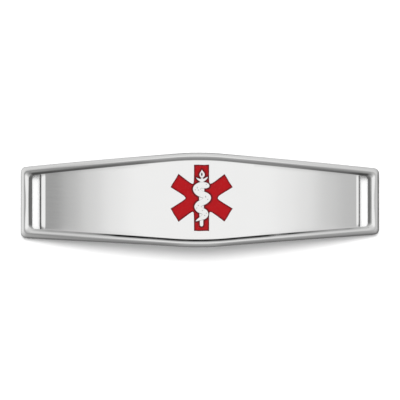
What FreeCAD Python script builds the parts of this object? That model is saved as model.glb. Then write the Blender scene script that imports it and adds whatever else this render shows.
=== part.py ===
import FreeCAD, Part
import math
import os
import Sketcher

# Plate of a medical alert bracelet: an arched silver casting with a raised rim, a slot
# near each end and a sunk six-armed star, filled with red enamel round a raised staff
# and serpent. Millimetres, +Z up. X runs along the plate, Y across it, and the two ends
# stand on Z = 0. Every arch is drawn round the bend line, which is the Y axis of each
# body, and the Placement then lowers the body until its feet reach Z = 0.

SIZES = [
    ("plate_length", 46.3, "end to end, straight across, before the rim's edge is rounded"),
    ("plate_width", 12.1, "across the middle"),
    ("bend_half", 2.8, "from the middle to where each long side runs straight"),
    ("taper_angle", 4.83, "slope of the long sides, degrees"),
    ("crest_radius", 60.0, "arch over the top of the rim"),
    ("rim_rise", 0.35, "rim above the face"),
    ("face_thick", 1.05, "metal under the face"),
    ("rim_middle", 0.9, "rim width at the middle"),
    ("inner_taper", 5.35, "slope of the inner edge of the rim, degrees"),
    ("end_bar", 1.09, "width of an end bar, before its edges are rounded"),
    ("corner_round", 0.6, "outer corners in plan"),
    ("pocket_round", 0.5, "corners of the sunk face in plan"),
    ("rim_outer_round", 0.45, "outer edge of the rim"),
    ("rim_inner_round", 0.3, "inner edge of the rim"),
    ("foot_round", 0.15, "edges of the back"),
    ("slot_width", 1.6, "slot between its walls"),
    ("lip_round", 0.4, "edge of the face at a slot"),
    ("star_x", 0.2, "star centre along the plate"),
    ("star_y", 0.25, "star centre across the plate"),
    ("upright_reach", 4.25, "upright arms, from the star centre"),
    ("upright_width", 1.95, "width of the upright arms"),
    ("slant_reach", 4.13, "slanted arms, from the star centre"),
    ("slant_width", 1.87, "width of the slanted arms"),
    ("slant_angle", 31.5, "slanted arms above the level, degrees"),
    ("notch_round", 0.18, "corner between two arms"),
    ("star_depth", 0.45, "star floor below the top of the face"),
    ("relief_rise", 0.1, "staff and serpent above the top of the face"),
    ("enamel_drop", 0.05, "enamel below the face"),
    ("enamel_gap", 0.02, "between the enamel and the metal round it"),
    ("bud_middle_y", 2.79, "round part of the bud, above the star centre"),
    ("bud_half_width", 0.4, "half the width of the bud on the staff"),
    ("bud_tip_y", 3.65, "tip of the bud, above the star centre"),
]

# Round-ended bars of the relief, about the star centre: the two middles of the ends and
# half the width.
BARS = [
    # name, start_x, start_y, end_x, end_y, half_width
    ("staff", 0.0, -3.44, 0.0, 2.1, 0.3),
    ("left_leaf", -0.02, 2.1, -0.54, 2.4, 0.13),
    ("right_leaf", 0.02, 2.1, 0.6, 2.42, 0.13),
    ("head", 0.2, 1.6, 0.72, 1.52, 0.34),
    ("tail", 0.1, -2.45, -0.55, -2.86, 0.18),
]

# Turns of the serpent that bulge past the staff, from the head down.
COILS = [
    # name, side, middle_y, half_height, reach
    ("first_coil", -1, 1.12, 0.88, 1.10),
    ("second_coil", 1, -0.05, 0.96, 1.22),
    ("third_coil", -1, -1.20, 0.735, 0.935),
    ("fourth_coil", 1, -2.06, 0.70, 0.86),
]

BAR_COLUMNS = ("start_x", "start_y", "end_x", "end_y", "half_width")
COIL_COLUMNS = ("middle_y", "half_height", "reach")

# Every cell of the sheet: its alias, value and meaning.
CELLS = list(SIZES)
for name, *values in BARS:
    for column, value in zip(BAR_COLUMNS, values):
        CELLS.append((name + "_" + column, value, "relief, from the star centre"))
for name, side, *values in COILS:
    for column, value in zip(COIL_COLUMNS, values):
        CELLS.append((name + "_" + column, value, "serpent, from the star centre"))
VALUE = {alias: value for alias, value, meaning in CELLS}

# Radii that follow from the driving sizes, as expressions on the sheet.
FACE_RADIUS = "(sizes.crest_radius - sizes.rim_rise)"
BACK_RADIUS = "(sizes.crest_radius - sizes.rim_rise - sizes.face_thick)"
OVER_RADIUS = "(sizes.crest_radius + 1)"
UNDER_RADIUS = "(sizes.crest_radius - sizes.rim_rise - sizes.face_thick - 1)"
ENAMEL_RADIUS = "(sizes.crest_radius - sizes.rim_rise - sizes.enamel_drop)"
STAR_FLOOR = "(sizes.crest_radius - sizes.rim_rise - sizes.star_depth)"
POCKET_SLOPE = "((sizes.plate_length / 2 - sizes.end_bar) / sizes.crest_radius)"
FOOT_RADIUS = "(sizes.crest_radius - sizes.rim_rise - sizes.face_thick + sizes.foot_round)"
END_ANGLE = "asin(sizes.plate_length / 2 / sizes.crest_radius)"
FOOT_ANGLE = "(%s - asin(sizes.foot_round / %s))" % (END_ANGLE, FOOT_RADIUS)
FOOT_REACH = "(sizes.foot_round - %s * cos%s)" % (FOOT_RADIUS, FOOT_ANGLE)

ORIGIN = FreeCAD.Vector(0, 0, 0)
UP = FreeCAD.Vector(0, 0, 1)
ON_IT = 1e-4  # an edge this near to a radius or an angle lies on it


def arm(point):
    """Distance of a point from the bend line."""
    return math.hypot(point.x, point.z)


def lean(point):
    """Angle between straight up and the direction from the bend line to a point."""
    return math.atan2(abs(point.x), point.z)


def make_sheet(doc):
    """The spreadsheet with the driving sizes, one named cell each."""
    sheet = doc.addObject("Spreadsheet::Sheet", "sizes")
    for row, (alias, value, meaning) in enumerate(CELLS, start=1):
        sheet.set("A%d" % row, alias.replace("_", " "))
        sheet.set("B%d" % row, str(value))
        sheet.set("C%d" % row, meaning)
        sheet.setAlias("B%d" % row, alias)
    doc.recompute()


def origin_plane(body, role):
    """One of the body's own origin planes."""
    return [feature for feature in body.Origin.OriginFeatures if feature.Role == role][0]


def add_sketch(body, name, role):
    """An empty sketch on one of the body's own origin planes."""
    sketch = body.newObject("Sketcher::SketchObject", name)
    sketch.AttachmentSupport = [(origin_plane(body, role), "")]
    sketch.MapMode = "FlatFace"
    return sketch


def constrain(sketch, *constraint):
    sketch.addConstraint(Sketcher.Constraint(*constraint))


def drive(sketch, name, expression, kind, *items):
    """Adds a named constraint at its drawn size and binds its value to the sheet."""
    if kind == "Radius":
        drawn = sketch.Geometry[items[0]].Radius
    else:
        way = sketch.getPoint(*items[2:]) - sketch.getPoint(*items[:2])
        drawn = {"DistanceX": way.x, "DistanceY": way.y, "Distance": way.Length}[kind]
    index = sketch.addConstraint(Sketcher.Constraint(kind, *items, drawn))
    sketch.renameConstraint(index, name)
    sketch.setExpression("Constraints." + name, expression)


def add_loop(sketch, points):
    """Straight lines round a closed outline, joined end to end."""
    first = sketch.GeometryCount
    for start, end in zip(points, points[1:] + points[:1]):
        sketch.addGeometry(Part.LineSegment(FreeCAD.Vector(*start, 0), FreeCAD.Vector(*end, 0)))
    count = len(points)
    for line in range(count):
        constrain(sketch, "Coincident", first + line, 2, first + (line + 1) % count, 1)


def both_ways(body, kind, name, sketch, length):
    """A pad or pocket of a sketch, half its length to each side of the sketch."""
    feature = body.newObject("PartDesign::" + kind, name)
    feature.Profile = sketch
    feature.SideType = "Symmetric"
    feature.setExpression("Length", length)
    return feature


def upwards(body, kind, name, sketch, length):
    """A pad or pocket that rises from its sketch."""
    feature = body.newObject("PartDesign::" + kind, name)
    feature.Profile = sketch
    feature.Reversed = kind == "Pocket"
    feature.setExpression("Length", length)
    return feature


def mirror(body, name, feature, role):
    """The same feature on the other side of an origin plane."""
    mirrored = body.newObject("PartDesign::Mirrored", name)
    mirrored.Originals = [feature]
    mirrored.MirrorPlane = (origin_plane(body, role), [""])
    body.Tip = mirrored
    return mirrored


def fillet(body, name, radius, chosen):
    """Rounds the edges of the body so far on which every sampled point is chosen."""
    body.Document.recompute()
    base = body.Tip
    edges = []
    for number, edge in enumerate(base.Shape.Edges, start=1):
        first, last = edge.ParameterRange
        points = [edge.valueAt(first + (last - first) * step / 4) for step in range(5)]
        if all(chosen(point) for point in points):
            edges.append("Edge%d" % number)
    feature = body.newObject("PartDesign::Fillet", name)
    feature.Base = (base, edges)
    feature.setExpression("Radius", radius)
    return feature


def sector_sketch(body, name, outer, inner, half_chord):
    """A band between two arcs about the bend line, cut off along two radii."""
    sketch = add_sketch(body, name, "XZ_Plane")
    drawn_outer, drawn_inner, half_turn = 60, 58, 0.35
    start, end = math.pi / 2 - half_turn, math.pi / 2 + half_turn
    for radius in (drawn_outer, drawn_inner):
        sketch.addGeometry(Part.ArcOfCircle(Part.Circle(ORIGIN, UP, radius), start, end))
    for side in (1, -1):
        ray = FreeCAD.Vector(side * math.sin(half_turn), math.cos(half_turn), 0)
        sketch.addGeometry(Part.LineSegment(ray * drawn_outer, ray * drawn_inner))
    for arc in (0, 1):
        constrain(sketch, "Coincident", arc, 3, -1, 1)
    drive(sketch, "outer_radius", outer, "Radius", 0)
    drive(sketch, "inner_radius", inner, "Radius", 1)
    for line, arc_end in ((2, 1), (3, 2)):
        constrain(sketch, "Coincident", 0, arc_end, line, 1)
        constrain(sketch, "Coincident", 1, arc_end, line, 2)
        constrain(sketch, "PointOnObject", -1, 1, line)
    drive(sketch, "right_end", half_chord, "DistanceX", -1, 1, 2, 1)
    drive(sketch, "left_end", half_chord, "DistanceX", 3, 1, -1, 1)
    return sketch


def outside_sketch(body, name, half_height, taper):
    """What lies beyond one long side: a straight taper, an arc over the middle, a taper."""
    sketch = add_sketch(body, name, "XY_Plane")
    slope, bend, height, reach, top = math.radians(VALUE["taper_angle"]), 2.8, 6.0, 26.0, 9.0
    radius = bend / math.sin(slope)
    circle = Part.Circle(FreeCAD.Vector(0, height - radius, 0), UP, radius)
    sketch.addGeometry(Part.ArcOfCircle(circle, math.pi / 2 - slope, math.pi / 2 + slope))
    right = (bend, height - radius * (1 - math.cos(slope)))
    far = (reach, right[1] - (reach - bend) * math.tan(slope))
    half = [right, far, (reach, top)]
    path = half + [(-x, y) for x, y in reversed(half)]
    for start, end in zip(path, path[1:]):
        sketch.addGeometry(Part.LineSegment(FreeCAD.Vector(*start, 0), FreeCAD.Vector(*end, 0)))
    constrain(sketch, "PointOnObject", 0, 3, -2)
    constrain(sketch, "Tangent", 0, 1, 1, 1)
    constrain(sketch, "Tangent", 0, 2, 5, 2)
    for line in (1, 2, 3, 4):
        constrain(sketch, "Coincident", line, 2, line + 1, 1)
    for line in (2, 4):
        constrain(sketch, "Vertical", line)
    constrain(sketch, "Horizontal", 3)
    bend_radius = "sizes.bend_half / sin(%s)" % taper
    centre_drop = "%s - %s" % (bend_radius, half_height)
    far_x = "sizes.plate_length / 2 + 3"
    drive(sketch, "bend_radius", bend_radius, "Radius", 0)
    drive(sketch, "centre_drop", centre_drop, "DistanceY", 0, 3, -1, 1)
    drive(sketch, "bend_right", "sizes.bend_half", "DistanceX", -1, 1, 0, 1)
    drive(sketch, "bend_left", "sizes.bend_half", "DistanceX", 0, 2, -1, 1)
    drive(sketch, "far_right", far_x, "DistanceX", -1, 1, 2, 1)
    drive(sketch, "far_left", far_x, "DistanceX", 4, 2, -1, 1)
    drive(sketch, "top_edge", "sizes.plate_width / 2 + 3", "DistanceY", -1, 1, 3, 1)
    return sketch


def slot_sketch(body, name):
    """The right slot's section. Its outer wall is the end bar's, its inner wall parallel."""
    sketch = add_sketch(body, name, "XZ_Plane")
    outer_top, outer_foot = (22.0, 55.8), (21.0, 53.0)
    inner_foot, inner_top = (19.5, 53.6), (20.5, 56.4)
    add_loop(sketch, [outer_top, outer_foot, inner_foot, inner_top])
    constrain(sketch, "PointOnObject", -1, 1, 0)
    for line in (0, 1, 2):
        constrain(sketch, "Perpendicular", line, line + 1)
    drive(sketch, "outer_top", POCKET_SLOPE + " * " + FACE_RADIUS, "DistanceX", -1, 1, 0, 1)
    drive(sketch, "outer_foot", POCKET_SLOPE + " * " + UNDER_RADIUS, "DistanceX", -1, 1, 0, 2)
    drive(sketch, "top_radius", FACE_RADIUS, "Distance", -1, 1, 0, 1)
    drive(sketch, "width", "sizes.slot_width", "Distance", 1, 1, 1, 2)
    return sketch


def at_star(sketch, height):
    """Moves a sketch to the star's centre, at a height above the bend line."""
    sketch.setExpression("AttachmentOffset.Base.x", "sizes.star_x")
    sketch.setExpression("AttachmentOffset.Base.y", "sizes.star_y")
    sketch.setExpression("AttachmentOffset.Base.z", height)


def arm_sketch(body, name, length, width, turn):
    """A rectangle about the star's centre, on the star's floor, for two opposite arms."""
    sketch = add_sketch(body, name, "XY_Plane")
    add_loop(sketch, [(4, 1), (-4, 1), (-4, -1), (4, -1)])
    for line in (0, 2):
        constrain(sketch, "Horizontal", line)
        constrain(sketch, "Vertical", line + 1)
    constrain(sketch, "Symmetric", 0, 1, 2, 1, -1, 1)
    drive(sketch, "arm_length", length, "DistanceX", 0, 2, 0, 1)
    drive(sketch, "arm_width", width, "DistanceY", 1, 2, 1, 1)
    sketch.AttachmentOffset = FreeCAD.Placement(ORIGIN, FreeCAD.Rotation(UP, 30))
    at_star(sketch, STAR_FLOOR)
    sketch.setExpression("AttachmentOffset.Rotation.Angle", turn)
    return sketch


def add_star(body, kind, margin, height):
    """The three crossing bars of the star, each inset by a margin."""
    arms = (("upright_arms", "upright", "90"),
            ("rising_arms", "slant", "sizes.slant_angle"),
            ("falling_arms", "slant", "180 - sizes.slant_angle"))
    for name, cell, turn in arms:
        length = "2 * (sizes.%s_reach - %s)" % (cell, margin)
        width = "sizes.%s_width - 2 * %s" % (cell, margin)
        sketch = arm_sketch(body, name + "_plan", length, width, turn)
        upwards(body, kind, name, sketch, height)


def bar_sketch(body, name, grow):
    """A round-ended bar of the relief, between the middles of its two ends."""
    sketch = add_sketch(body, name + "_plan", "XY_Plane")
    first, last, half = FreeCAD.Vector(0, -1, 0), FreeCAD.Vector(0, 1, 0), VALUE[name + "_half_width"]
    sketch.addGeometry(Part.ArcOfCircle(Part.Circle(first, UP, half), math.pi, 2 * math.pi))
    sketch.addGeometry(Part.ArcOfCircle(Part.Circle(last, UP, half), 0, math.pi))
    for side in (1, -1):
        across = FreeCAD.Vector(side * half, 0, 0)
        sketch.addGeometry(Part.LineSegment(first + across, last + across))
    for arc, arc_end, line, line_end in ((0, 2, 2, 1), (1, 1, 2, 2), (1, 2, 3, 2), (0, 1, 3, 1)):
        constrain(sketch, "Tangent", arc, arc_end, line, line_end)
    constrain(sketch, "Equal", 0, 1)
    drive(sketch, "half_width", "sizes.%s_half_width + %s" % (name, grow), "Radius", 0)
    for arc, place in ((0, "start"), (1, "end")):
        for axis in ("x", "y"):
            cell = "%s_%s" % (place, axis)
            drive(sketch, cell, "sizes.%s_%s" % (name, cell), "Distance" + axis.upper(), -1, 1, arc, 3)
    return sketch


def coil_sketch(body, name, side, grow):
    """A turn of the serpent: a disc that bulges to one side, cut off along the staff's far edge."""
    sketch = add_sketch(body, name + "_plan", "XY_Plane")
    spread = 2.2
    outwards = 0 if side > 0 else math.pi
    radius = VALUE[name + "_half_height"]
    middle = FreeCAD.Vector(side * (VALUE[name + "_reach"] - radius), VALUE[name + "_middle_y"], 0)
    circle = Part.Circle(middle, UP, radius)
    arc = Part.ArcOfCircle(circle, outwards - spread, outwards + spread)
    sketch.addGeometry(arc)
    sketch.addGeometry(Part.LineSegment(arc.StartPoint, arc.EndPoint))
    for end in (1, 2):
        constrain(sketch, "Coincident", 0, end, 1, end)
    constrain(sketch, "Vertical", 1)
    cell = "sizes." + name
    drive(sketch, "radius", "%s_half_height + %s" % (cell, grow), "Radius", 0)
    centre_x = "%d * (%s_reach - %s_half_height)" % (side, cell, cell)
    drive(sketch, "centre_x", centre_x, "DistanceX", -1, 1, 0, 3)
    drive(sketch, "centre_y", cell + "_middle_y", "DistanceY", -1, 1, 0, 3)
    chord_x = "%d * (sizes.staff_half_width + %s)" % (-side, grow)
    drive(sketch, "chord_x", chord_x, "DistanceX", -1, 1, 1, 1)
    return sketch


def bud_sketch(body, name, grow):
    """The bud on top of the staff: round below, with two straight sides up to a point."""
    sketch = add_sketch(body, name + "_plan", "XY_Plane")
    middle, tip, half = VALUE["bud_middle_y"], VALUE["bud_tip_y"], VALUE["bud_half_width"]
    shoulder = math.asin(half / (tip - middle))
    circle = Part.Circle(FreeCAD.Vector(0, middle, 0), UP, half)
    sketch.addGeometry(Part.ArcOfCircle(circle, math.pi - shoulder, 2 * math.pi + shoulder))
    for side in (-1, 1):
        edge = FreeCAD.Vector(side * half * math.cos(shoulder), middle + half * math.sin(shoulder), 0)
        sketch.addGeometry(Part.LineSegment(edge, FreeCAD.Vector(0, tip, 0)))
    constrain(sketch, "Tangent", 0, 1, 1, 1)
    constrain(sketch, "Tangent", 0, 2, 2, 1)
    constrain(sketch, "Coincident", 1, 2, 2, 2)
    constrain(sketch, "PointOnObject", 0, 3, -2)
    constrain(sketch, "PointOnObject", 1, 2, -2)
    drive(sketch, "half_width", "sizes.bud_half_width + " + grow, "Radius", 0)
    drive(sketch, "middle_y", "sizes.bud_middle_y", "DistanceY", -1, 1, 0, 3)
    drive(sketch, "tip_y", "sizes.bud_tip_y + 2 * " + grow, "DistanceY", -1, 1, 1, 2)
    return sketch


def add_relief(body, kind, grow, height):
    """Staff, bud, leaves and serpent, each wider by a margin all round, from the star's floor up."""
    plans = [bar_sketch(body, name, grow) for name, *values in BARS]
    plans += [coil_sketch(body, name, side, grow) for name, side, *values in COILS]
    plans.append(bud_sketch(body, "bud", grow))
    for sketch in plans:
        at_star(sketch, STAR_FLOOR)
        upwards(body, kind, sketch.Label.replace("_plan", ""), sketch, height)


def notch_distances(margin):
    """How far from the star's centre two arms meet, level and beside the upright arms."""
    slant = math.radians(VALUE["slant_angle"])
    half_slanted = VALUE["slant_width"] / 2 - margin
    half_upright = VALUE["upright_width"] / 2 - margin
    rise = (half_slanted + half_upright * math.sin(slant)) / math.cos(slant)
    return half_slanted / math.sin(slant), math.hypot(half_upright, rise)


def round_notches(body, margin, radius):
    """Rounds the upright edges where two arms of the star meet."""
    distances = notch_distances(margin)

    def at_notch(point):
        reach = math.hypot(point.x - VALUE["star_x"], point.y - VALUE["star_y"])
        return min(abs(reach - distance) for distance in distances) < ON_IT

    fillet(body, "notches", radius, at_notch)


def make_hollow(doc, pocket_angle):
    """What is cut out of the strip: the space over the face and the two slots."""
    body = doc.addObject("PartDesign::Body", "hollow")
    over_chord = POCKET_SLOPE + " * " + OVER_RADIUS
    sketch = sector_sketch(body, "face_section", OVER_RADIUS, FACE_RADIUS, over_chord)
    both_ways(body, "Pad", "over_face", sketch, "sizes.plate_width")
    slot = both_ways(body, "Pad", "right_slot", slot_sketch(body, "slot_section"), "sizes.plate_width")
    mirror(body, "left_slot", slot, "YZ_Plane")
    rim_edge = "(sizes.plate_width / 2 - sizes.rim_middle)"
    sketch = outside_sketch(body, "rim_edge", rim_edge, "sizes.inner_taper")
    side = both_ways(body, "Pocket", "back_rim", sketch, "4 * sizes.crest_radius")
    mirror(body, "front_rim", side, "XZ_Plane")
    fillet(body, "pocket_corners", "sizes.pocket_round", upright_at(pocket_angle))
    return body


def upright_at(angle):
    """Picks the edges that run towards the bend line at a lean, off the middle of the plate."""
    return lambda point: abs(lean(point) - angle) < ON_IT and abs(point.y) > 1


def make_plate(doc):
    """The casting: arched strip, tapered sides, rim, slots, sunk star and relief."""
    crest = VALUE["crest_radius"]
    face = crest - VALUE["rim_rise"]
    back = face - VALUE["face_thick"]
    end_angle = math.asin(VALUE["plate_length"] / 2 / crest)
    pocket_half = VALUE["plate_length"] / 2 - VALUE["end_bar"]
    pocket_angle = math.asin(pocket_half / crest)
    lip_angle = pocket_angle - math.asin(VALUE["slot_width"] / face)
    half_rim = VALUE["rim_middle"] - VALUE["rim_inner_round"]

    body = doc.addObject("PartDesign::Body", "plate")
    sketch = sector_sketch(body, "arch", "sizes.crest_radius", BACK_RADIUS, "sizes.plate_length / 2")
    both_ways(body, "Pad", "strip", sketch, "sizes.plate_width")
    sketch = outside_sketch(body, "side_edge", "sizes.plate_width / 2", "sizes.taper_angle")
    side = both_ways(body, "Pocket", "back_side", sketch, "4 * sizes.crest_radius")
    mirror(body, "front_side", side, "XZ_Plane")
    fillet(body, "corners", "sizes.corner_round", upright_at(end_angle))
    fillet(body, "rim_outer_edge", "sizes.rim_outer_round",
           lambda point: abs(arm(point) - crest) < ON_IT)
    cut = body.newObject("PartDesign::Boolean", "face_and_slots")
    cut.Type = "Cut"
    cut.setObjects([make_hollow(doc, pocket_angle)])

    def on_inner_edge(point):
        taper = math.tan(math.radians(VALUE["taper_angle"])) * abs(point.x)
        from_side = VALUE["plate_width"] / 2 - taper - abs(point.y)
        inside = lean(point) < pocket_angle + ON_IT and from_side > half_rim
        return inside and abs(arm(point) - crest) < ON_IT

    fillet(body, "rim_inner_edge", "sizes.rim_inner_round", on_inner_edge)
    fillet(body, "slot_lips", "sizes.lip_round",
           lambda point: abs(arm(point) - face) < ON_IT and abs(lean(point) - lip_angle) < ON_IT)
    fillet(body, "back_edges", "sizes.foot_round", lambda point: abs(arm(point) - back) < ON_IT)
    add_star(body, "Pocket", "0", "sizes.star_depth + 2")
    round_notches(body, 0, "sizes.notch_round")
    add_relief(body, "Pad", "0", "sizes.star_depth + sizes.relief_rise")
    return body


def make_enamel(doc):
    """The red filling of the star: flat below, arched on top, open round the relief."""
    body = doc.addObject("PartDesign::Body", "star_enamel")
    add_star(body, "Pad", "sizes.enamel_gap", "2 * sizes.star_depth")
    round_notches(body, VALUE["enamel_gap"], "sizes.notch_round + sizes.enamel_gap")
    over = sector_sketch(body, "over_enamel", OVER_RADIUS, ENAMEL_RADIUS, "sizes.plate_length / 2")
    both_ways(body, "Pocket", "top", over, "sizes.plate_width")
    add_relief(body, "Pocket", "sizes.enamel_gap", "2 * sizes.star_depth")
    return body


def check(doc, bodies):
    """Stops where a feature failed or a body isn't one sound solid."""
    for item in doc.Objects:
        if "Invalid" in item.State or "Error" in item.State:
            raise RuntimeError("%s failed: %s" % (item.Label, item.State))
    for body in bodies:
        shape = body.Shape
        if shape.isNull() or not shape.isValid() or len(shape.Solids) != 1:
            raise RuntimeError("%s isn't one valid solid" % body.Label)
        print(body.Label, round(shape.Volume, 3), shape.BoundBox)


doc = FreeCAD.newDocument("bracelet_plate")
make_sheet(doc)
bodies = [make_plate(doc), make_enamel(doc)]
for body in bodies:
    body.setExpression("Placement.Base.z", FOOT_REACH)
doc.recompute()
check(doc, bodies)
os.makedirs("parts", exist_ok=True)
for body in bodies:
    body.Shape.exportStep("parts/%s.step" % body.Label)
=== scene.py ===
import math

import bmesh
import bpy
import numpy as np
from bpy.props import FloatProperty, FloatVectorProperty, PointerProperty
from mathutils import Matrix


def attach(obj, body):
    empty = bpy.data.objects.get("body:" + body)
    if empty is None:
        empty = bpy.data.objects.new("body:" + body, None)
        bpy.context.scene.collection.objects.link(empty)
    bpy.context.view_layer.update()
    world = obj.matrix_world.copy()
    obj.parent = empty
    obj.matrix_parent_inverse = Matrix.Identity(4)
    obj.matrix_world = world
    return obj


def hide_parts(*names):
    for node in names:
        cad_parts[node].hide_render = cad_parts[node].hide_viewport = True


# The curved silver name plate of a medical alert bracelet, with its raised rim, its two
# slots and its red enamelled star. Metres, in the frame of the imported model. Shapes are
# worked out in the arch's own coordinates: along (x on the arch over the rim), across (y)
# and rise (height above that arch, negative inside the metal). `on_arch` bends them.

bl_info = {
    "name": "Medical alert bracelet plate",
    "version": (1, 0, 0),
    "blender": (4, 5, 0),
    "location": "3D View > Sidebar > Bracelet",
    "description": "Builds the plate, its enamelled star with staff and serpent, and a plain studio",
    "category": "Add Mesh",
}

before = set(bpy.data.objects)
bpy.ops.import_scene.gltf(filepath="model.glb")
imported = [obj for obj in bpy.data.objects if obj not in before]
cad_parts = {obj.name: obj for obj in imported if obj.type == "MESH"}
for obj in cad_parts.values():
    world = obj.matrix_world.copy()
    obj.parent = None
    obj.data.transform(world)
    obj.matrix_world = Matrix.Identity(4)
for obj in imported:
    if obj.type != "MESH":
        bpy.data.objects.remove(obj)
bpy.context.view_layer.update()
MM = 0.001


def length(name, description, default):
    """A size in metres that shows as a length, with its default in millimetres."""
    return FloatProperty(name=name, description=description, default=default * MM, unit="LENGTH",
                         subtype="DISTANCE", precision=6)


def angle(name, description, degrees):
    return FloatProperty(name=name, description=description, default=math.radians(degrees), subtype="ANGLE")


def colour(name, description, default):
    return FloatVectorProperty(name=name, description=description, subtype="COLOR", size=3, min=0, max=1,
                               default=default)


class PlateSizes(bpy.types.PropertyGroup):
    plate_length: length("Plate length", "End to end, before the edges of the back are rounded", 46.28)
    plate_width: length("Plate width", "Across the middle", 12.094)
    bend_half: length("Bend", "From the middle to where a long side runs straight", 2.8)
    inner_bend_half: length("Inner bend", "The same for the inner edge of the rim", 3.6)
    crest_radius: length("Arch radius", "Arch over the top of the rim", 60.0)
    bend_depth: length("Bend depth", "Arch's bend line below the floor", 54.1086)
    rim_rise: length("Rim rise", "Rim above the face", 0.35)
    face_thick: length("Face thickness", "Metal under the face", 1.045)
    rim_middle: length("Rim width", "Rim width at the middle of the plate", 0.98)
    end_bar: length("End bar", "Width of an end bar", 1.09)
    corner_round: length("Corner", "Outer corners in plan", 0.6)
    pocket_round: length("Inner corner", "Corners of the slots in plan", 0.5)
    foot_round: length("Back rounding", "Edges of the back", 0.15)
    slot_width: length("Slot", "Slot between its walls", 1.4)
    lip_zone: length("Lip", "Width of the raised edge of the face at a slot", 0.8)
    lip_round: length("Lip rounding", "Rounding of the lip towards the slot", 0.22)
    left_lip_rise: length("Left lip rise", "Left slot's lip above the face", 0.16)
    left_lip_width: length("Left lip width", "Slope of the left slot's lip", 0.74)
    right_lip_rise: length("Right lip rise", "Right slot's lip above the face", 0.09)
    right_lip_width: length("Right lip width", "Slope of the right slot's lip", 0.5)
    dish: length("Dish", "Hollow in which the face meets the rim", 0.024)
    upper_flare: length("Upper flare", "Extra half width of the left end on its upper side", 0.17)
    lower_flare: length("Lower flare", "Extra half width of the left end on its lower side", 0.42)
    taper: angle("Taper", "Slope of the long sides", 4.83)
    inner_taper: angle("Inner taper", "Slope of the inner edge of the rim", 5.35)


class StarSizes(bpy.types.PropertyGroup):
    centre_x: length("Centre along", "Star centre along the plate", 0.2)
    centre_y: length("Centre across", "Star centre across the plate", 0.25)
    upright_reach: length("Upright reach", "Upright arms, from the star centre", 4.25)
    upright_width: length("Upright width", "Width of the upright arms", 1.95)
    slant_reach: length("Slanted reach", "Slanted arms, from the star centre", 4.13)
    slant_width: length("Slanted width", "Width of the slanted arms", 1.87)
    slant: angle("Slant", "Slanted arms above the level", 31.5)
    shoulder: length("Shoulder", "From the star centre to a slanted arm's outer side, drawn on", 0.66)
    splay: angle("Splay", "A slanted arm's outer side leans away from its axis", 5.5)
    depth: length("Depth", "Star floor below the face", 0.45)
    enamel_drop: length("Enamel drop", "Enamel below the face", 0.05)
    relief_rise: length("Relief rise", "Staff and serpent above the face", 0.09)


class Finishes(bpy.types.PropertyGroup):
    silver: colour("Silver", "Polished silver", (0.93, 0.93, 0.925))
    enamel: colour("Enamel", "Red enamel", (0.305, 0.0015, 0.004))
    # The enamel's edge colour is painted shade where the enamel meets the metal and the relief.
    enamel_edge_shade: colour("Enamel edge", "Red enamel where it meets the metal", (0.07, 0.002, 0.005))


# How finely each stretch of the plate is divided.
TIP_STEPS = 8
NOTCH_STEPS = 40
RING_STEPS = 26
PLAIN_STEPS = 60
LIP_STEPS = 6
LIP_SLOPE_STEPS = 9
LIP_WALL_STEPS = 4
SLOT_SIDE_STEPS = 8
CORNER_STEPS = 10
END_STEPS = 24
FOOT_STEPS = 4
BACK_STEPS = 4
WALL_STEPS = 6
RECESS_RINGS = 12
SHARP_FROM = math.radians(35)
# The star's zone of the face: the first point of its outline on the upper side, and the
# points on half of that side, which is also how many lie on a side across the plate.
ZONE_FIRST = NOTCH_STEPS + TIP_STEPS // 2
ZONE_SIDE = NOTCH_STEPS + TIP_STEPS
ENAMEL_RINGS = 90

# Rounds in which rays from the star find the rim, and parts in which slopes are summed up.
RAY_ROUNDS = 30
SECTION_PARTS = 4000
# The power that keeps a lip level across the plate and lets it fall at its ends.
LIP_LEVEL = 14

# The hollow at the rim's foot: how far it reaches, and over what length it fades at a slot.
DISH_WIDTH = 0.28 * MM
DISH_FADE = 2.5 * MM

# The star's outline: how far its notches are rounded, and the height of its unevenness.
NOTCH_SOFTNESS = 0.4 * MM
OUTLINE_UNEVEN = 0.015 * MM

# The enamel: its gaps to the metal beside and below it, how far and wide its surface sinks
# beside metal, and the width of its dark edge of painted shade. Every ninth ring is used on its underside.
# Then how far the relief reaches under the star's floor.
ENAMEL_GAP = 0.004 * MM
ENAMEL_FLOOR_GAP = 0.01 * MM
UNDERSIDE_STEP = 9
MENISCUS_DROP = 0.03 * MM
MENISCUS_WIDTH = 0.12 * MM
ENAMEL_EDGE_SHADE_WIDTH = 0.15 * MM
FLOOR_OVERLAP = 0.02 * MM

# The rim's section as slopes: share of its width from the inner foot, degrees of slope
# (facing inwards above nought), and steps from the point before.
RIM_SLOPES = [(0.0, 4, 0), (0.03, 46, 3), (0.2, 47, 4), (0.24, 38, 3), (0.5, 13, 7), (0.56, -11, 5),
              (0.9, -36, 8), (1.0, -84, 8)]
# The same for the end bars, where the section stands on the slot's wall.
BAR_SLOPES = [(0.0, 83), (0.02, 83), (0.05, 34), (0.15, 24), (0.4, 2), (0.62, -12), (0.88, -34), (1.0, -84)]


def straight(start, stop, steps):
    """Even steps from start to stop, both included."""
    return np.linspace(start, stop, steps + 1)


def between(first, last, shares):
    """Rows of points from the first row to the last, at shares of the way."""
    return first + (last - first) * shares[:, None, None]


def flare_scale(sizes, along, across):
    """How much the plate spreads across at a plan distance: 1 + flare / half * share ** p,
    share being the way to the left end and p 1 on the upper side, 1.3 on the lower."""
    end = sizes.plate_length / 2
    half = sizes.plate_width / 2 - end * math.tan(sizes.taper)
    share = np.clip(-np.asarray(along) / end, 0, 1)
    upper, lower = sizes.upper_flare * share, sizes.lower_flare * share ** 1.3
    return 1 + np.where(np.asarray(across) > 0, upper, lower) / half


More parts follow.
